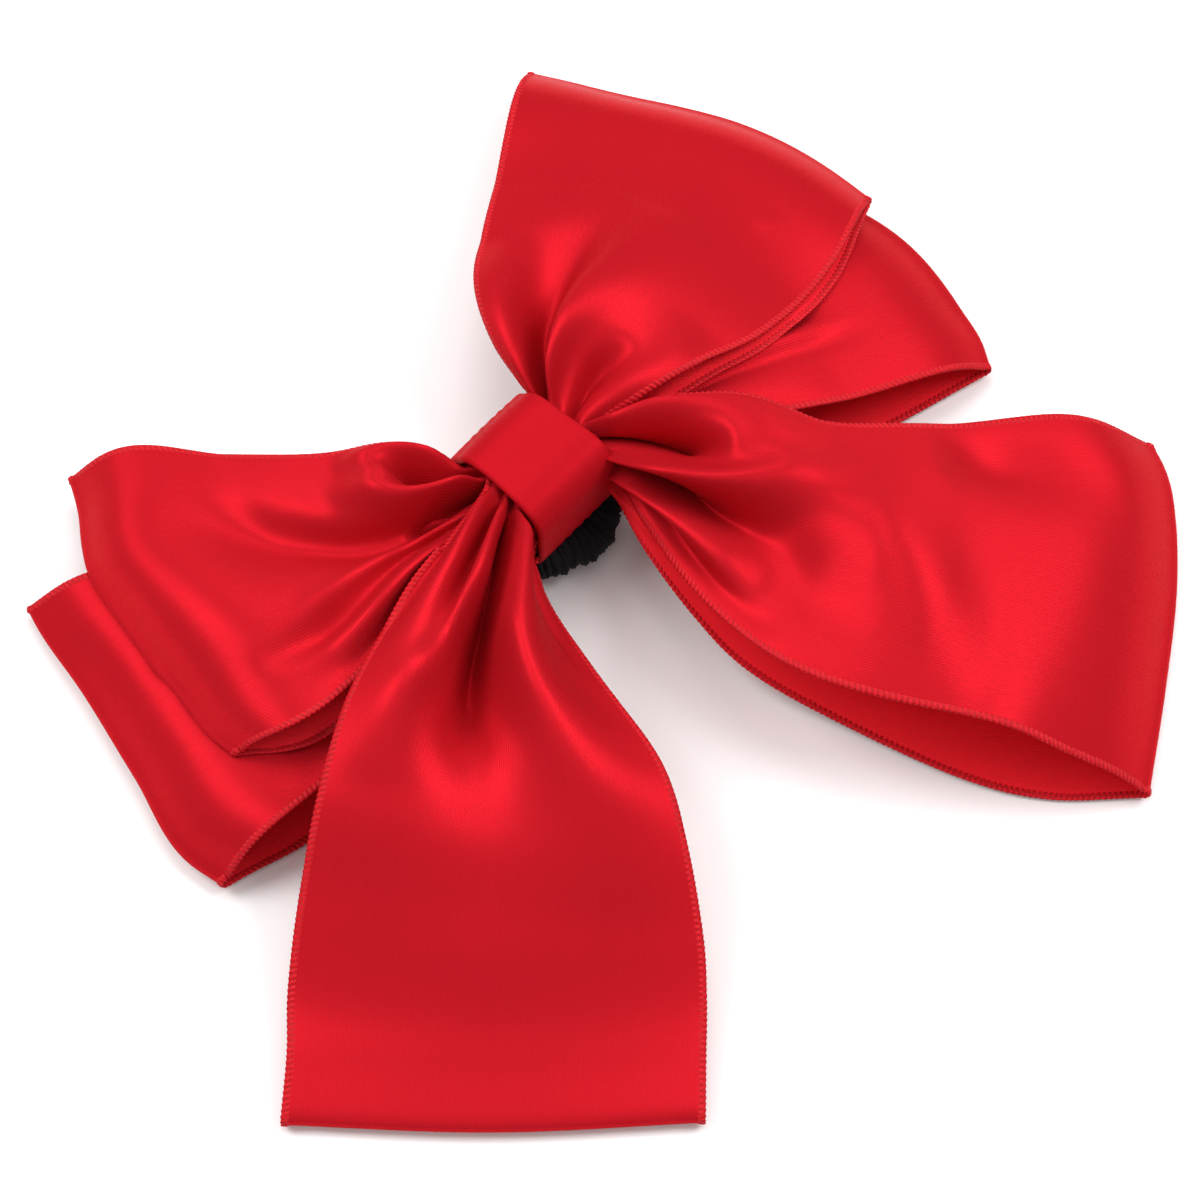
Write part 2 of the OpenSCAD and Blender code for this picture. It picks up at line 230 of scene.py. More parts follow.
            [(0.32, 0.5, 0, 0.14), (0.42, 0.5, 2, 0.16), (0.52, 0.56, 3, 0.18), (0.6, 0.7, 2.5, 0.2),
             (0.7, 0.85, 0, 0.2)],
            [(0.58, 0.14, 0, 0.1), (0.69, 0.17, -3.5, 0.1), (0.78, 0.2, -2.5, 0.11), (0.9, 0.24, 0, 0.12)],
        ],
    ),
}


def catmull(points, n):
    """n points, evenly spaced along a smooth curve through the given ones."""
    p = np.asarray(points, float)
    p = np.vstack([2 * p[0] - p[1], p, 2 * p[-1] - p[-2]])
    fine = []
    f = np.linspace(0, 1, 24, endpoint=False)[:, None]
    for a, b, c, d in zip(p[:-3], p[1:-2], p[2:-1], p[3:]):
        bend = (2 * a - 5 * b + 4 * c - d) * f**2 + (3 * b - a - 3 * c + d) * f**3
        fine.append(b + 0.5 * ((c - a) * f + bend))
    return evenly(np.vstack(fine + [p[-2:-1]]), n)


def evenly(line, n):
    """n points evenly spaced along a line."""
    length = np.r_[0, np.cumsum(np.linalg.norm(np.diff(line, axis=0), axis=1))]
    at = np.linspace(0, length[-1], n)
    return np.stack([np.interp(at, length, line[:, k]) for k in range(line.shape[1])], 1)


def smoothstep(x):
    """From 0 to 1 as x goes from 0 to 1, level at both ends."""
    x = np.clip(x, 0, 1)
    return x * x * (3 - 2 * x)


def across_three(a, b, c, v):
    """The parabola through a at v=0, b at v=0.5 and c at v=1, for whole rails."""
    v = v[None, :, None]
    a, b, c = a[:, None], b[:, None], c[:, None]
    return a * (1 - v) * (1 - 2 * v) + b * 4 * v * (1 - v) + c * v * (2 * v - 1)


def through(x, y, at):
    """A smooth curve through the points (x, y), read at the places in at."""
    slope = np.gradient(y, x)
    i = np.clip(np.searchsorted(x, at) - 1, 0, len(x) - 2)
    step = x[i + 1] - x[i]
    f = np.clip((at - x[i]) / step, 0, 1)
    rise = y[i + 1] - y[i]
    curve = f * f * (3 - 2 * f)
    ends = slope[i] * step * f * (1 - f) ** 2 - slope[i + 1] * step * f * f * (1 - f)
    return y[i] + rise * curve + ends


def relief(t, v, folds):
    """The height that the folds add to the front sheet, in mm."""
    total = np.zeros((len(t), len(v)))
    for fold in folds:
        p = np.array([(*point, point[3])[:5] for point in fold], float)
        line, height, near, far = (through(p[:, 0], p[:, k], t)[:, None] for k in (1, 2, 3, 4))
        height = np.where((t < p[0, 0]) | (t > p[-1, 0]), 0, height[:, 0])[:, None]
        off = v[None] - line
        total += height * np.exp(-((off / np.where(off < 0, near, far)) ** 2))
    return total * smoothstep(0.25 + 9 * t)[:, None]


def unit(a):
    """Vectors of length 1, the same way."""
    return a / np.maximum(np.linalg.norm(a, axis=-1, keepdims=True), 1e-9)


def normals(g):
    """Square to a grid, at each of its points."""
    return unit(np.cross(np.gradient(g, axis=0), np.gradient(g, axis=1)))


def arc(g):
    """The length of each row of a grid, from edge to edge."""
    return np.linalg.norm(np.diff(g, axis=1), axis=2).sum(1)


def take_up(g, up, v, slack, room):
    """Small folds over part of each row, just high enough to bring it up to FULL of the ribbon's width.

    They are never higher than the slack's own limit or the room for them. They fade in past the neck and out
    before the far fold, and wander a little, so that no two are alike.
    """
    start, end, count, most = slack
    most = np.minimum(most, room)
    f = np.clip((v - start) / (end - start), 0, 1)
    t = np.linspace(0, 1, len(g))[:, None]
    opened = smoothstep(7 * t - 0.6) * smoothstep(4 * (0.78 - t) - 0.35 * np.sin(9 * f + 1))
    wander = 0.9 * np.sin(5 * f + 3 * t) * smoothstep(2 * t)
    wave = np.sin(2 * np.pi * count * f + wander) * smoothstep(6 * f) * smoothstep(6 * (1 - f)) * opened
    low, high = np.zeros(len(g)), most
    for _ in range(16):
        height = (low + high) / 2
        short = arc(g + up * (height[:, None] * wave)[..., None]) < FULL * RIBBON_WIDTH
        low, high = np.where(short, height, low), np.where(short, high, height)
    for _ in range(6):
        height[1:-1] = (height[:-2] + 2 * height[1:-1] + height[2:]) / 4
    return g + up * (height[:, None] * wave)[..., None]


def from_middle(g):
    """The distance along the bow from the knot's middle, mm, much more beside the wrap than inside it."""
    return np.hypot(g[..., 0], 3 * np.maximum(np.abs(g[..., 1]) - 11, 0))


def gather(g, v):
    """Nested upright pleats at the neck, alike in every layer, so that they lie in each other."""
    wave = np.cos(2 * np.pi * PLEATS * v)
    near = 1 - smoothstep((from_middle(g) - 7) / (PLEAT_REACH - 7))
    g[..., 2] += PLEAT_HEIGHT * near * wave
    return g


def into_wrap(g):
    """Presses the layers into the inside of the centre wrap."""
    flat = (g[..., 1:] - WRAP_INSIDE[0]) / WRAP_INSIDE[1]
    over = np.maximum((np.abs(flat) ** 3).sum(-1, keepdims=True) ** (1 / 3), 1)
    near = 1 - smoothstep((from_middle(g)[..., None] - 10.3) / 3)
    g[..., 1:] = WRAP_INSIDE[0] + flat * WRAP_INSIDE[1] * (1 + near * (1 / over - 1))
    return g


def draft(loop):
    """The loop as a grid [along, across] in mm, and the number of rows in each of its two sheets."""
    v = np.linspace(0, 1, ACROSS + 1)
    length = np.linalg.norm(np.diff(catmull(loop["mid"], 60), axis=0), axis=1).sum()
    n = int(round(length * ACROSS / RIBBON_WIDTH)) + 1
    t = np.linspace(0, 1, n)
    front = across_three(*(catmull(loop[k], n) for k in ("top", "mid", "foot")), v)
    up = normals(front)
    up *= np.sign(up[..., 2:].mean())
    front += up * relief(t, v, loop["folds"])[..., None]
    out = unit((front[-1] - front[-3]) * [1, 1, 0])
    end = np.array(loop["end"])
    reach = through(end[:, 0], end[:, 1], v)[None, :, None] * smoothstep((t - 0.7) / 0.3)[:, None, None]
    front += reach * out
    front += up * loop["arch"] * (np.sin(np.pi * np.clip((t - 0.62) / 0.38, 0, 1) ** 1.5)[:, None, None])
    back_top, back_foot = catmull(loop["back_top"], n), catmull(loop["back_foot"], n)
    back = across_three(back_top, (back_top + back_foot) / 2, back_foot, v)
    back += reach * out
    room = 0.5 * (front[..., 2] - back[..., 2]).mean(1)
    if loop["slack"]:
        front = take_up(front, up, v, loop["slack"], room)
    front = into_wrap(gather(front, v))
    back = into_wrap(gather(take_up(back, np.array([0, 0, 1.0]), v, BACK_SLACK, room), v))
    # the far fold: half a turn from the end of the front sheet to the end of the back one
    a, b = front[-1], back[-1]
    centre, half = (a + b) / 2, (a - b) / 2
    size = np.linalg.norm(half, axis=1, keepdims=True)
    turn = np.linspace(0, np.pi, BEND_CELLS + 1)[1:-1]
    bend = np.stack([centre + half * math.cos(q) + out * size * math.sin(q) for q in turn])
    return np.concatenate([front, bend, back[::-1]]), n


def smooth_out(g, share):
    """Moves each inner point towards the middle of its four neighbours."""
    near = g[:-2, 1:-1] + g[2:, 1:-1] + g[1:-1, :-2] + g[1:-1, 2:]
    g[1:-1, 1:-1] += share * (near / 4 - g[1:-1, 1:-1])


def keep_apart(g, n):
    """Keeps the front sheet above the back sheet."""
    front, back = g[:n], g[::-1][:n]
    want = SHEET_GAP * smoothstep(np.linspace(0, 1, n) / 0.1)[:, None]
    short = np.maximum(want - (front[..., 2] - back[..., 2]), 0) / 2
    front[..., 2] += short
    back[..., 2] -= short * (back[..., 2] > 0.6)


def settle(g, n, support):
    """Rests the loop on what is under it."""
    for _ in range(ROUNDS):
        rest_on(g, support)
        smooth_out(g, 0.3)
        keep_apart(g, n)
        under_front(g, n)
    return g


SUPPORT_CELL = 2.0              # mm, cells of the map of what the next loop rests on
SUPPORT_HALF = 150.0            # mm, half the map's width


def spread(m, pick):
    """Each cell takes the highest, or the mean, of itself and its eight neighbours."""
    m = np.pad(m, 1, mode="edge")
    near = [m[i:i + len(m) - 2, j:j + len(m) - 2] for i in range(3) for j in range(3)]
    return pick(np.stack(near), axis=0)


def read_map(g, heights):
    """The heights that a map has at the points of a grid."""
    at = (g[..., :2] + SUPPORT_HALF) / SUPPORT_CELL - 0.5
    i = np.floor(at).astype(int)
    f = at - i
    total = 0
    for di, dj in ((0, 0), (1, 0), (0, 1), (1, 1)):
        share = np.abs(1 - di - f[..., 0]) * np.abs(1 - dj - f[..., 1])
        total = total + share * heights[i[..., 0] + di, i[..., 1] + dj]
    return total


def map_cells(g):
    """The cells of the map that the points of a grid fall in."""
    i = ((g[..., :2] + SUPPORT_HALF) / SUPPORT_CELL).astype(int)
    return i[..., 0].ravel(), i[..., 1].ravel()


def rest_on(g, support):
    """Lifts the loop off what is under it, except at the neck, where the layers nest."""
    away = smoothstep((np.hypot(g[..., 0], g[..., 1]) - 16) / 12)
    g[..., 2] = np.maximum(g[..., 2], LOWEST + (read_map(g, support) - LOWEST) * away)


def under_front(g, n):
    """Presses the back sheet down under the valleys of the front sheet, outside the wrap."""
    front, back = g[:n], g[::-1][:n]
    valleys = np.full_like(support, 1000.0)
    np.minimum.at(valleys, map_cells(front), front[..., 2].ravel())
    over = np.maximum(back[..., 2] - read_map(back, spread(valleys, np.min)) + LAYER_GAP, 0)
    t = np.linspace(0, 1, n)[:, None]
    over *= smoothstep((np.hypot(back[..., 0], back[..., 1]) - 11) / 5) * smoothstep(5 * (0.8 - t))
    back[..., 2] -= np.minimum(over, np.maximum(back[..., 2] - LOWEST, 0))


def add_support(g, support):
    """Adds a settled loop to the map of what the next one rests on."""
    np.maximum.at(support, map_cells(g), (g[..., 2] + LAYER_GAP).ravel())


# ---------------------------------------------------------------- meshes
def grid_mesh(name, g, size, material, round_rows=False, round_cols=False, flip=False, caps=False):
    """A mesh of a grid of points in mm, with its flat size [rows' way, columns' way] in mm as its UV map."""
    rows, cols, _ = g.shape
    ids = np.arange(rows * cols).reshape(rows, cols)
    if round_rows:
        ids = np.concatenate([ids, ids[:1]], 0)
    if round_cols:
        ids = np.concatenate([ids, ids[:, :1]], 1)
    uv = np.stack(np.meshgrid(np.linspace(0, size[0], ids.shape[0]), np.linspace(0, size[1], ids.shape[1]),
                              indexing="ij"), -1) * MM
    corners = [(slice(None, -1), slice(None, -1)), (slice(1, None), slice(None, -1)),
               (slice(1, None), slice(1, None)), (slice(None, -1), slice(1, None))]
    if flip:
        corners = corners[::-1]
    quads = np.stack([ids[c] for c in corners], -1).reshape(-1, 4).tolist()
    flat = np.stack([uv[c] for c in corners], -2).reshape(-1, 2)
    if caps:
        ends = [ids[0, :cols].tolist(), ids[-1, :cols][::-1].tolist()]
        quads += [end[::-1] for end in ends] if flip else ends
        flat = np.concatenate([flat, np.zeros((2 * cols, 2))])
    mesh = bpy.data.meshes.new(name)
    mesh.from_pydata((g.reshape(-1, 3) * MM).tolist(), [], quads)
    mesh.uv_layers.new(name="flat").data.foreach_set("uv", flat.ravel())
    mesh.polygons.foreach_set("use_smooth", [True] * len(mesh.polygons))
    mesh.materials.append(material)
    obj = bpy.data.objects.new(name, mesh)
    bpy.context.scene.collection.objects.link(obj)
    return obj


def thicken(obj, thickness, inner):
    """Gives a sheet its thickness, with its own material on the inner side."""
    obj.data.materials.append(inner)
    solid = obj.modifiers.new("thickness", "SOLIDIFY")
    solid.thickness = thickness * MM
    solid.offset = 0
    solid.material_offset = 1
    return obj


def resample(g, count):
    """The rows read again at count even places, on smooth curves through the old ones."""
    last = len(g) - 1
    at = np.linspace(0, last, count)
    i = np.minimum(at.astype(int), last - 1)
    f = (at - i).reshape((-1,) + (1,) * (g.ndim - 1))
    a, b, c, d = (g[np.clip(i + k, 0, last)] for k in (-1, 0, 1, 2))
    return b + 0.5 * ((c - a) * f + (2 * a - 5 * b + 4 * c - d) * f**2 + (3 * b - a - 3 * c + d) * f**3)


def tube_rings(path, radius, count, closed=False):
    """Rings of count points round a path. Radius is one number or a grid [point, ring point]."""
    if closed:
        along = unit(np.roll(path, -1, 0) - np.roll(path, 1, 0))
    else:
        along = unit(np.gradient(path, axis=0))
    side = unit(np.cross(along, [0.31, 0.11, 0.94]))
    lift = np.cross(side, along)
    a = np.linspace(0, 2 * np.pi, count, endpoint=False)
    r = np.broadcast_to(radius, (len(path), count))[..., None]
    out = np.cos(a)[None, :, None] * side[:, None] + np.sin(a)[None, :, None] * lift[:, None]
    return path[:, None] + r * out


SELVEDGE = 1.5                  # mm, width of the bound edge
STITCH = 1.08                   # mm from one ridge of the edge to the next


def selvedge(name, g, edge, inside, material):
    """The ribbon's bound edge: a flat tube along one side of the grid, with slanted ridges."""
    line, inner = g[:, edge], g[:, inside]
    length = np.linalg.norm(np.diff(line, axis=0), axis=1).sum()
    count = int(length / 0.17)
    line, inner = resample(line, count), resample(inner, count)
    inward = unit(inner - line)
    up = unit(np.cross(np.gradient(line, axis=0), inward))
    u = np.r_[0, np.cumsum(np.linalg.norm(np.diff(line, axis=0), axis=1))]
    a = np.linspace(0, 2 * np.pi, 10, endpoint=False)
    across = 0.5 - 0.5 * np.cos(a)
    twist = np.sin(2 * np.pi * (u[:, None] / STITCH + 0.75 * across[None]))
    high = (RIBBON_THICKNESS / 2 + 0.11 + 0.11 * twist) * np.sin(a)[None]
    wide = SELVEDGE * across[None] - 0.08 * (1 - across[None]) * (1 + twist)
    rings = line[:, None] + inward[:, None] * wide[..., None] + up[:, None] * high[..., None]
    return grid_mesh(name, rings, (length, 2 * SELVEDGE), material, round_cols=True, caps=True)


# ---------------------------------------------------------------- materials
RIB_PITCH = 0.00052             # m from one rib of the satin to the next


def new_material(name):
    """A material, with its nodes, its links and its main shader."""
    m = bpy.data.materials.new(name)
    m.use_nodes = True
    return m, m.node_tree.nodes, m.node_tree.links, m.node_tree.nodes["Principled BSDF"]


def maths(nodes, links, operation, a, b):
    """The result of one sum in the shader. Each of a and b is a number or another result."""
    node = nodes.new("ShaderNodeMath")
    node.operation = operation
    for i, value in enumerate((a, b)):
        if isinstance(value, (int, float)):
            node.inputs[i].default_value = value
        else:
            links.new(value, node.inputs[i])
    return node.outputs[0]


def noise(nodes, links, vector, stretch, detail=2):
    """Noise over the flat cloth, stretched by (along, across) cycles a metre."""
    scale = nodes.new("ShaderNodeMapping")
    scale.inputs["Scale"].default_value = (*stretch, 1)
    links.new(vector, scale.inputs["Vector"])
    node = nodes.new("ShaderNodeTexNoise")
    node.inputs["Scale"].default_value = 1
    node.inputs["Detail"].default_value = detail
    links.new(scale.outputs[0], node.inputs["Vector"])
    return node.outputs["Fac"]


def satin(name, colour, roughness, shine, rib_depth):
    """Satin ribbon: fine ribs along it, streaks where the warp floats, and a highlight running across it."""
    m, nodes, links, b = new_material(name)
    flat = nodes.new("ShaderNodeUVMap")
    flat.uv_map = "flat"
    parts = nodes.new("ShaderNodeSeparateXYZ")
    links.new(flat.outputs[0], parts.inputs[0])
    floats = noise(nodes, links, flat.outputs[0], (450, 4200), 1)
    streaks = noise(nodes, links, flat.outputs[0], (22, 900), 2)
    cloud = noise(nodes, links, flat.outputs[0], (28, 40), 3)
    turn = maths(nodes, links, "MULTIPLY", parts.outputs["Y"], 2 * math.pi / RIB_PITCH)
    turn = maths(nodes, links, "ADD", turn, maths(nodes, links, "MULTIPLY", streaks, 3.0))
    rib = maths(nodes, links, "SINE", turn, 0)
    height = maths(nodes, links, "ADD", maths(nodes, links, "MULTIPLY", rib, 0.5), floats)
    bump = nodes.new("ShaderNodeBump")
    bump.inputs["Strength"].default_value = rib_depth
    bump.inputs["Distance"].default_value = 0.00004
    links.new(height, bump.inputs["Height"])
    links.new(bump.outputs[0], b.inputs["Normal"])
    # Colour: random tone from the streaks and clouds, which the cloth really has, plus painted shade from the
    # ribs, a little darker in each rib's groove where its bump is low.
    shade = maths(nodes, links, "ADD", maths(nodes, links, "MULTIPLY", streaks, 0.05),
                  maths(nodes, links, "MULTIPLY", cloud, 0.14))
    shade = maths(nodes, links, "ADD", shade, maths(nodes, links, "MULTIPLY", rib, 0.03))
    value = maths(nodes, links, "ADD", shade, 0.88)
    tint = nodes.new("ShaderNodeMix")
    tint.data_type = "RGBA"
    tint.blend_type = "MULTIPLY"
    tint.inputs["Factor"].default_value = 1
    tint.inputs["A"].default_value = (*colour, 1)
    links.new(value, tint.inputs["B"])
    links.new(tint.outputs["Result"], b.inputs["Base Color"])
    rough = maths(nodes, links, "ADD", maths(nodes, links, "MULTIPLY", floats, 0.12), roughness - 0.06)
    links.new(rough, b.inputs["Roughness"])
    tangent = nodes.new("ShaderNodeTangent")
    tangent.direction_type = "UV_MAP"
    tangent.uv_map = "flat"
    links.new(tangent.outputs[0], b.inputs["Tangent"])
    b.inputs["Metallic"].default_value = shine
    b.inputs["Anisotropic"].default_value = 0.75
    b.inputs["Anisotropic Rotation"].default_value = 0.25
    b.inputs["Specular IOR Level"].default_value = 0.03
    b.inputs["Specular Tint"].default_value = (1, 0.08, 0.1, 1)
    b.inputs["Sheen Weight"].default_value = 0.005
    b.inputs["Sheen Roughness"].default_value = 0.4
    b.inputs["Sheen Tint"].default_value = (1, 0.25, 0.28, 1)
    return m


def yarn(name, colour, pitch, depth, roughness=0.7, sheen=0.3, spread=0.3, lean=0.6):
    """Thread, knitted cover or ribbed rubber: strands pitch metres apart, with painted shade darkening the
    grooves between them, and some random variation in colour.
    """
    m, nodes, links, b = new_material(name)
    flat = nodes.new("ShaderNodeUVMap")
    flat.uv_map = "flat"
    parts = nodes.new("ShaderNodeSeparateXYZ")
    links.new(flat.outputs[0], parts.inputs[0])
    slant = maths(nodes, links, "MULTIPLY", parts.outputs["Y"], lean)
    slant = maths(nodes, links, "ADD", parts.outputs["X"], slant)
    strands = maths(nodes, links, "SINE", maths(nodes, links, "MULTIPLY", slant, 2 * math.pi / pitch), 0)
    fuzz = noise(nodes, links, flat.outputs[0], (2600, 2600), 3)
    height = maths(nodes, links, "ADD", strands, maths(nodes, links, "MULTIPLY", fuzz, 1.2))
    bump = nodes.new("ShaderNodeBump")
    bump.inputs["Strength"].default_value = depth
    bump.inputs["Distance"].default_value = 0.00008
    links.new(height, bump.inputs["Height"])
    links.new(bump.outputs[0], b.inputs["Normal"])
    # painted shade: the colour is darker in the grooves between strands, where the bump is low, by up to two
    # thirds of spread; the fuzz varies it at random
    value = maths(nodes, links, "ADD", maths(nodes, links, "MULTIPLY", strands, spread / 3), 1 - spread / 3)
    value = maths(nodes, links, "MULTIPLY", value, maths(nodes, links, "ADD", fuzz, 0.5))
    tint = nodes.new("ShaderNodeMix")
    tint.data_type = "RGBA"
    tint.blend_type = "MULTIPLY"
    tint.inputs["Factor"].default_value = 1
    tint.inputs["A"].default_value = (*colour, 1)
    links.new(value, tint.inputs["B"])
    links.new(tint.outputs["Result"], b.inputs["Base Color"])
    rough = maths(nodes, links, "ADD", maths(nodes, links, "MULTIPLY", fuzz, 0.2), roughness - 0.1)
    links.new(rough, b.inputs["Roughness"])
    b.inputs["Sheen Weight"].default_value = sheen
    b.inputs["Specular IOR Level"].default_value = 0.25
    return m


SATIN = satin("satin_face", (0.5, 0.0095, 0.0172), 0.42, 0.36, 0.5)
# The wrap is the same satin, rougher and less shiny, with its colour painted darker than the loops' as
# painted shade for its flat front face, which the lamps light less.
SATIN_WRAP_SHADED = satin("satin_wrap_shaded", (0.44, 0.007, 0.0135), 0.52, 0.2, 0.6)
# The inner face: duller and with no shine, as the back of the cloth is, and painted much lighter than the
# outer face, as painted light standing in for light that reaches into the loops and through the thin cloth.
SATIN_INSIDE_PAINTED_LIGHT = satin("satin_inside_painted_light", (0.86, 0.02, 0.032), 0.5, 0.0, 0.8)
SATIN_EDGE = yarn("satin_edge", (0.56, 0.009, 0.0165), STITCH * MM, 0.3, 0.5, 0.0, 0.4, 0.48)
SATIN_EDGE.node_tree.nodes["Principled BSDF"].inputs["Specular IOR Level"].default_value = 0.1
THREAD = yarn("red_thread", (0.42, 0.006, 0.012), 0.0006, 0.6)
ELASTIC = yarn("black_elastic", (0.003, 0.0025, 0.003), 0.0007, 0.5, 0.85, 0.02)
RUBBER = yarn("rubber_core", (0.02, 0.019, 0.018), 0.0011, 0.3, 0.6, 0.0)

support = np.full((int(2 * SUPPORT_HALF / SUPPORT_CELL),) * 2, LOWEST)
grids = {}
for name, loop in LOOPS.items():
    g, n = draft(loop)
    g = settle(g, n, spread(spread(support, np.max), np.mean))
    add_support(g, support)
    g = g + [0, 0, TABLE]
    grids[name] = g
    right = name.endswith("right")
    length = np.linalg.norm(np.diff(g[:, ACROSS // 2], axis=0), axis=1).sum()
    ribbon = grid_mesh(name + "_ribbon", g, (length, RIBBON_WIDTH), SATIN, flip=right)
    thicken(ribbon, RIBBON_THICKNESS, SATIN_INSIDE_PAINTED_LIGHT)
    edges = [selvedge(name + "_selvedge_a", g, 0, 2, SATIN_EDGE),
             selvedge(name + "_selvedge_b", g, -1, -3, SATIN_EDGE)]
    for piece in [ribbon] + edges:
        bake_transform(piece)
    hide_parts(name + "_loop")

# ---------------------------------------------------------------- the gathered waists
WAIST_MIDDLE = np.array([0, -0.8, 15.6])    # mm, the middle of the bundle of waists
WAIST_HALF = np.array([7.4, 6.3])           # mm, its half breadth and half depth under the thread
WAIST_ROWS = 15
WAIST_FREE, WAIST_EASE = 7, 3.2             # mm: where the squeeze ends, and over what length it fades


def waist_strips(left, right):
    """The two strips of one ribbon that join its loops inside the wrap."""
    f = np.linspace(0, 1, WAIST_ROWS)[:, None, None]
    return [left[row][None] * (1 - f) + right[row][None] * f for row in (0, -1)]


strips = {k: waist_strips(grids[k + "_left"], grids[k + "_right"]) for k in ("lower", "upper", "front")}
middle = np.concatenate([s[WAIST_ROWS // 2] for pair in strips.values() for s in pair]) - WAIST_MIDDLE
squeeze = np.minimum(WAIST_HALF / np.abs(middle[:, 1:]).max(0), 1)
for key, pair in strips.items():
    joined = []
    for g in pair:
        bound = smoothstep((WAIST_FREE - np.abs(g[..., :1])) / WAIST_EASE)
        g[..., 1:] = WAIST_MIDDLE[1:] + (g[..., 1:] - WAIST_MIDDLE[1:]) * (1 - bound * (1 - squeeze))
        joined.append(g)
    size = (np.ptp(joined[0][..., 0]), RIBBON_WIDTH)
    first = grid_mesh(key + "_waist_ribbon", joined[0], size, SATIN)
    second = grid_mesh(key + "_waist_second", joined[1], size, SATIN, flip=True)
    with bpy.context.temp_override(active_object=first, selected_editable_objects=[first, second]):
        bpy.ops.object.join()
    thicken(first, RIBBON_THICKNESS, SATIN_INSIDE_PAINTED_LIGHT)
    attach(first, "knot")
    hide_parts(key + "_waist")

# ---------------------------------------------------------------- binding thread
TURNS = 7
THREAD_RADIUS = 0.32            # mm
THREAD_PITCH = 0.82             # mm from one turn to the next


def bound_oval(a, half, power):
    """A rounded oblong, y and z, at the angles a."""
    y = np.sign(np.cos(a)) * np.abs(np.cos(a)) ** (2 / power)
    z = np.sign(np.sin(a)) * np.abs(np.sin(a)) ** (2 / power)
    return WAIST_MIDDLE[1] + half[0] * y, WAIST_MIDDLE[2] + half[1] * z


a = np.linspace(0, 2 * np.pi * TURNS, 90 * TURNS)
y, z = bound_oval(a, WAIST_HALF + THREAD_RADIUS + 0.25, 4)
x = (a / (2 * np.pi) - TURNS / 2) * THREAD_PITCH + 0.15 * np.sin(a * 1.7)
winding = np.stack([x, y, z], 1)
length = np.linalg.norm(np.diff(winding, axis=0), axis=1).sum()
thread = grid_mesh("waist_thread_turns", tube_rings(winding, THREAD_RADIUS, 8), (length, 2), THREAD,
                   round_cols=True, caps=True)
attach(thread, "knot")
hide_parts("waist_thread")

# ---------------------------------------------------------------- centre wrap
WRAP_WIDTH = 19.5               # mm, along the bow
WRAP_BREADTH = 23.0             # mm, across the bow
WRAP_HEIGHT = 24.0              # mm, from back to front
WRAP_PLY = 1.4                  # mm, the folded ribbon's thickness
BACK_CORNER, FRONT_CORNER = 9.0, 6.2    # mm, corner radii
LAP_START, LAP_RISE = 13, 4     # mm: how far before the end the lap starts to rise, and over what length


def wrap_path():
    """The wrap's outline, y and z: from its hidden end, round the back and the front, and over its start."""
    y, z = WRAP_BREADTH / 2, WRAP_HEIGHT
    line = [(y, 12.5)]

    def corner(cy, cz, r, first, last):
        for q in np.radians(np.linspace(first, last, 16)):
            line.append((cy + r * math.cos(q), cz + r * math.sin(q)))

    corner(y - BACK_CORNER, BACK_CORNER, BACK_CORNER, 0, -90)
    corner(BACK_CORNER - y, BACK_CORNER, BACK_CORNER, -90, -180)
    corner(FRONT_CORNER - y, z - FRONT_CORNER, FRONT_CORNER, 180, 90)
    corner(y - FRONT_CORNER, z - FRONT_CORNER, FRONT_CORNER, 90, 0)
    line.append((y, 15))
    line.append((y, 7.5))
    line = evenly(np.array(line), 240)
    for _ in range(50):
        line[1:-1] = (line[:-2] + 2 * line[1:-1] + line[2:]) / 4
    return line


def wrap_section():
    """Across the wrap, x and depth below its outer face: a ribbon with both edges folded in to meet."""
    skin = RIBBON_THICKNESS / 2
    roll = WRAP_PLY / 2 - skin
    out = np.linspace(-WRAP_WIDTH / 2 + roll + skin, WRAP_WIDTH / 2 - roll - skin, 19)
    turn = np.radians(np.linspace(90, -90, 9)[1:-1])
    near = [(x, WRAP_PLY - skin) for x in np.linspace(-0.4, out[0], 10)]
    near += [(out[0] - roll * math.cos(q), skin + roll + roll * math.sin(q)) for q in turn]
    far = [(out[-1] + roll * math.cos(q), skin + roll - roll * math.sin(q)) for q in turn]
    far += [(x, WRAP_PLY - skin) for x in np.linspace(out[-1], 0.4, 10)]
    return np.array(near + [(x, skin) for x in out] + far)


line = wrap_path()
section = wrap_section()
step = np.gradient(line, axis=0)
step /= np.linalg.norm(step, axis=1, keepdims=True)
inward = np.stack([-step[:, 1], step[:, 0]], 1)
middle = np.array([0, WRAP_HEIGHT / 2])
inward *= np.sign(((middle - line) * inward).sum(1, keepdims=True))
at = np.r_[0, np.cumsum(np.linalg.norm(np.diff(line, axis=0), axis=1))]
over = (WRAP_PLY + 0.1) * smoothstep((at - at[-1] + LAP_START) / LAP_RISE)
x = section[:, 0][None]
deep = section[:, 1][None] - over[:, None]
# the outer face swells a little at the front, with faint creases, and the wrap widens on its foot side
front = smoothstep((line[:, 1] - 14) / 8)[:, None]
share = np.cos(np.clip(x / WRAP_WIDTH, -0.5, 0.5) * np.pi)
outer = (section[:, 1] < 0.2)[None]
crease = 0.10 * np.sin(1.9 * x + 0.02 * at[:, None] * x) + 0.07 * np.sin(3.7 * x - 0.11 * at[:, None] + 1)
deep = deep - outer * share * (0.45 * front + crease)
wider = 1 + 0.07 * smoothstep((4 - line[:, :1]) / 14)
g = np.stack([x * wider, line[:, :1] + inward[:, :1] * deep, line[:, 1:] + inward[:, 1:] * deep], -1)
wrap = grid_mesh("centre_wrap_ribbon", g, (at[-1], 2 * WRAP_WIDTH), SATIN_WRAP_SHADED, flip=True)
thicken(wrap, RIBBON_THICKNESS, SATIN_INSIDE_PAINTED_LIGHT)
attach(wrap, "knot")
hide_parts("centre_wrap")

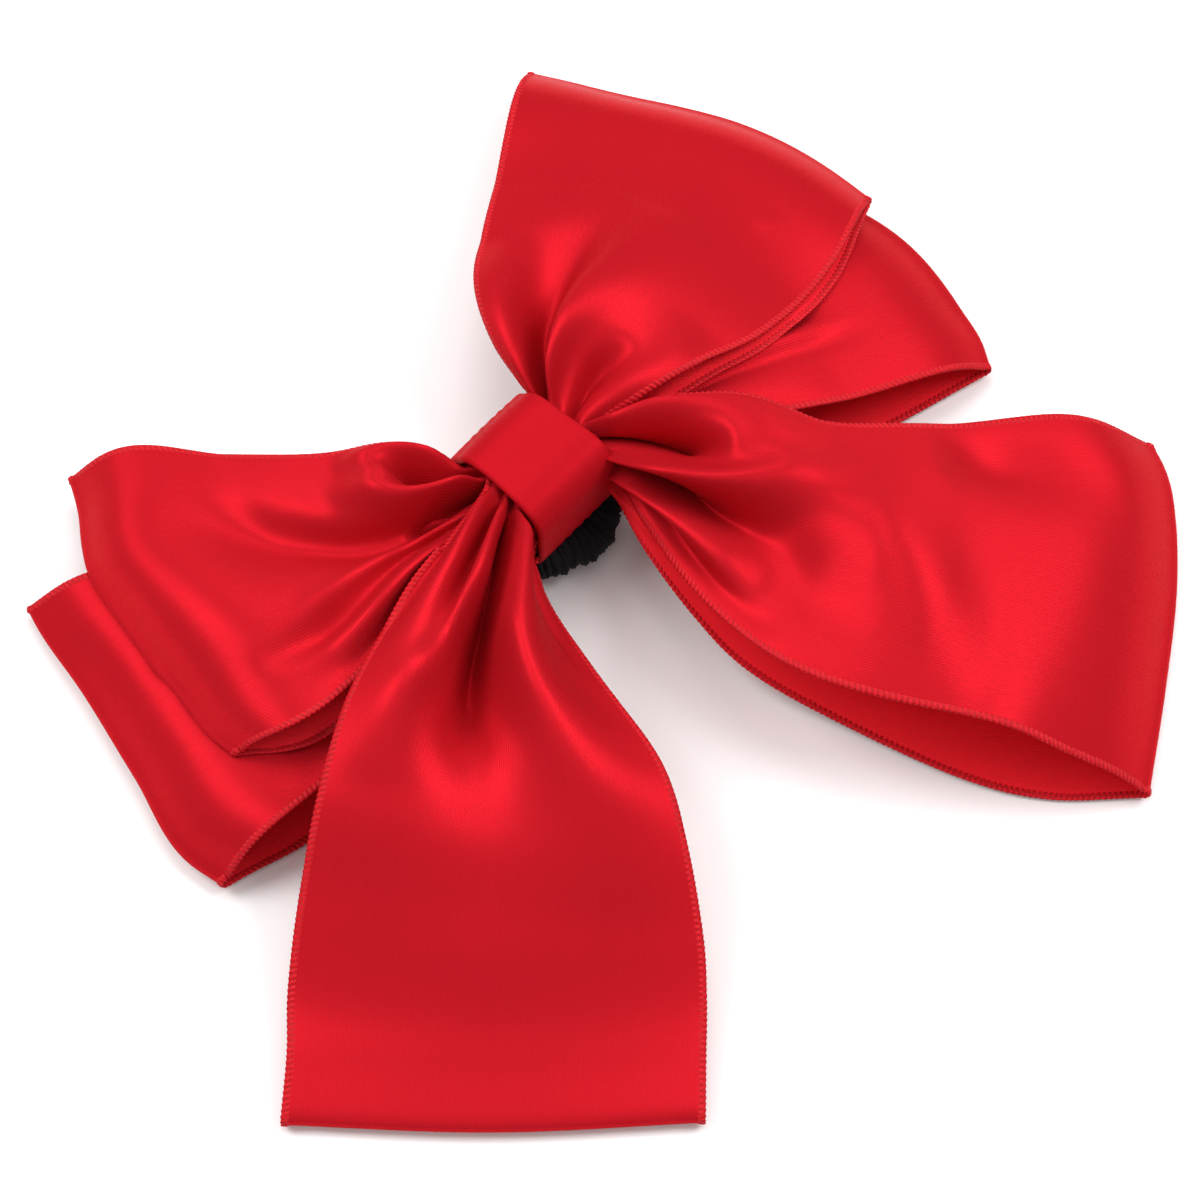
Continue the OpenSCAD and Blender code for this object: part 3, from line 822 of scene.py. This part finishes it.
# ---------------------------------------------------------------- the wrap's stitches
STITCH_RADIUS = 0.24            # mm
STITCH_STEP = 3.4               # mm from one stitch to the next
STITCH_SLANT = 1.4              # mm along the wrap from a stitch's start to its end
STITCH_HALF = 1.9               # mm, half the height that a stitch spans
STITCH_MIDDLE = 7.4             # mm, z of the stitches' middle, at the lap's end
lap_y = WRAP_BREADTH / 2 + WRAP_PLY + 0.1
stitches = []
for i in range(5):
    x = (i - 2) * STITCH_STEP
    a = np.linspace(0, np.pi, 15)
    along = x - STITCH_SLANT / 2 + STITCH_SLANT * a / np.pi
    path = np.stack([along, WRAP_BREADTH / 2 - 0.3 + 0 * a, STITCH_MIDDLE + STITCH_HALF * np.cos(a)], 1)
    # a stitch stands out further over the lap than over the ply below it, and both its ends are in the cloth
    path[:, 1] += 2.15 * np.sin(a) ** 0.7 * (0.62 + 0.38 * np.cos(a))
    path[0, 1] = lap_y - 0.2
    stitches.append(grid_mesh("stitch_%d" % i, tube_rings(path, STITCH_RADIUS, 8), (5, 1.5), THREAD,
                              round_cols=True, caps=True))
with bpy.context.temp_override(active_object=stitches[0], selected_editable_objects=stitches):
    bpy.ops.object.join()
stitches[0].name = "wrap_whip_stitches"
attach(stitches[0], "knot")
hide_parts("wrap_stitches")

# ---------------------------------------------------------------- hair tie
# The relaxed tie slopes from the wrap's back down towards the table. Its points are (x, distance from the run
# inside the wrap, sleeve radius) in the tie's own plane, in mm: the sleeve is tight inside the wrap and at
# the bends, and bunches up between them.
TIE_Y, TIE_Z = 1.0, 5.6         # mm, the run inside the wrap
TIE = [(-16, 0, 3.0), (-5, 0, 2.9), (6, 0, 2.8), (9.6, 1.0, 2.6), (11, 4.4, 2.7), (10, 8.4, 3.4),
       (6.5, 12.0, 4.8), (1, 13.0, 4.8), (-4, 11.8, 4.3), (-9.5, 9.6, 3.6), (-15, 9.2, 3.1), (-20, 9.0, 2.9),
       (-23.6, 6.6, 2.8), (-22.4, 2.2, 2.9), (-16, 0, 3.0)]
TIE_HIGH, TIE_FAR = 4.0, 16.25  # mm: the slope is this high above the table, this far from the wrap's run
TIE_TILT = math.asin((TIE_Z - TABLE - TIE_HIGH) / TIE_FAR)
CORE_SHARE = 0.6                # the core's radius as a share of the sleeve's
RUCHE = 1.8                     # mm from one gather of the sleeve to the next


def tie_line(count):
    """The tie's middle line and the sleeve's radius along it."""
    ring = catmull(TIE, count + 1)[:-1]
    y = TIE_Y - ring[:, 1] * math.cos(TIE_TILT)
    z = TIE_Z - ring[:, 1] * math.sin(TIE_TILT)
    return np.stack([ring[:, 0], y, z], 1), ring[:, 2]


path, thick = tie_line(600)
length = np.linalg.norm(np.diff(path, axis=0), axis=1).sum()
u = np.linspace(0, length, len(path), endpoint=False)
a = np.linspace(0, 2 * np.pi, 48, endpoint=False)[None]
round_loop = 2 * np.pi * (u / length)[:, None]
sway = (0.9 * np.sin(2 * a + 3 * round_loop) + 0.7 * np.sin(3 * a - 7 * round_loop + 1)
        + 1.2 * np.sin(9 * round_loop))
phase = (round(length / RUCHE) * round_loop + sway) / 2
ridge = np.abs(np.cos(phase))
deep = 0.75 + 0.25 * np.sin(5 * round_loop + 2 * a)
radius = thick[:, None] * (1.04 - 0.2 * deep * (1 - ridge) + 0.035 * np.sin(6 * phase + 4 * a)
                           + 0.1 * np.sin(4 * round_loop + a + 2) * np.sin(13 * round_loop + 2 * a))
sleeve = grid_mesh("hair_tie_ruched_sleeve", tube_rings(path, radius, a.size, closed=True), (length, 24),
                   ELASTIC, round_rows=True, round_cols=True)
path, thick = tie_line(200)
core = grid_mesh("hair_tie_elastic_core", tube_rings(path, CORE_SHARE * thick[:, None], 16, closed=True),
                 (length, 11), RUBBER, round_rows=True, round_cols=True)
for piece, node, slot in ((sleeve, "hair_tie_sleeve", "elastic_cover"),
                          (core, "hair_tie_core", "elastic_core")):
    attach(piece, "hair_tie")
    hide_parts(node)

# ---------------------------------------------------------------- stage, light and camera
floor = bpy.data.objects.new("floor", bpy.data.meshes.new("floor"))
bpy.context.scene.collection.objects.link(floor)
bm = bmesh.new()
bmesh.ops.create_grid(bm, x_segments=1, y_segments=1, size=3)
bm.to_mesh(floor.data)
bm.free()
floor.location = (0, 0, (TABLE - 0.05) * MM)
paper, _, _, b = new_material("paper")
b.inputs["Base Color"].default_value = (0.93, 0.93, 0.93, 1)
b.inputs["Roughness"].default_value = 0.85
b.inputs["Specular IOR Level"].default_value = 0.1
floor.data.materials.append(paper)

# The camera looks at TARGET from this side and this high, DISTANCE metres away.
AZIMUTH, ELEVATION, DISTANCE = math.radians(48), math.radians(64), 0.7
AWAY = Vector((math.sin(AZIMUTH), math.cos(AZIMUTH), 0))        # from the camera, along the table
RIGHT = Vector((math.cos(AZIMUTH), -math.sin(AZIMUTH), 0))


def area(name, right, away, high, size, power):
    """A soft round light, placed as the camera sees it: metres to its right, away from it, and up."""
    lamp = bpy.data.lights.new(name, "AREA")
    lamp.shape = "DISK"
    lamp.size = size
    lamp.energy = power
    obj = bpy.data.objects.new(name, lamp)
    obj.location = right * RIGHT + away * AWAY + Vector((0, 0, high))
    obj.rotation_euler = obj.location.to_track_quat("Z", "Y").to_euler()
    bpy.context.scene.collection.objects.link(obj)


area("left", -0.85, 0.15, 1.05, 0.75, 9.5)
area("right", 0.85, 0.15, 1.05, 0.75, 9.5)
area("behind", 0.0, 0.65, 1.35, 0.7, 5)
bpy.context.scene.view_settings.view_transform = "Standard"
world = bpy.data.worlds.new("studio")
bpy.context.scene.world = world
world.use_nodes = True
nodes, links = world.node_tree.nodes, world.node_tree.links
toward = nodes.new("ShaderNodeSeparateXYZ")
links.new(nodes.new("ShaderNodeTexCoord").outputs["Generated"], toward.inputs[0])
sky = maths(nodes, links, "MULTIPLY", maths(nodes, links, "MAXIMUM", toward.outputs["Z"], 0), 0.5)
links.new(maths(nodes, links, "ADD", sky, 0.32), nodes["Background"].inputs["Strength"])
nodes["Background"].inputs["Color"].default_value = (1, 1, 1, 1)

LENS, SENSOR = 109.5, 36        # mm
TARGET = Vector((-4.17, -20.45, TABLE)) * MM
look = AWAY * math.cos(ELEVATION) - Vector((0, 0, math.sin(ELEVATION)))
cam = bpy.data.cameras.new("camera")
cam.lens, cam.sensor_width = LENS, SENSOR
camera = bpy.data.objects.new("camera", cam)
camera.location = TARGET - look * DISTANCE
camera.rotation_euler = look.to_track_quat("-Z", "Y").to_euler()
bpy.context.scene.collection.objects.link(camera)
bpy.context.scene.camera = camera
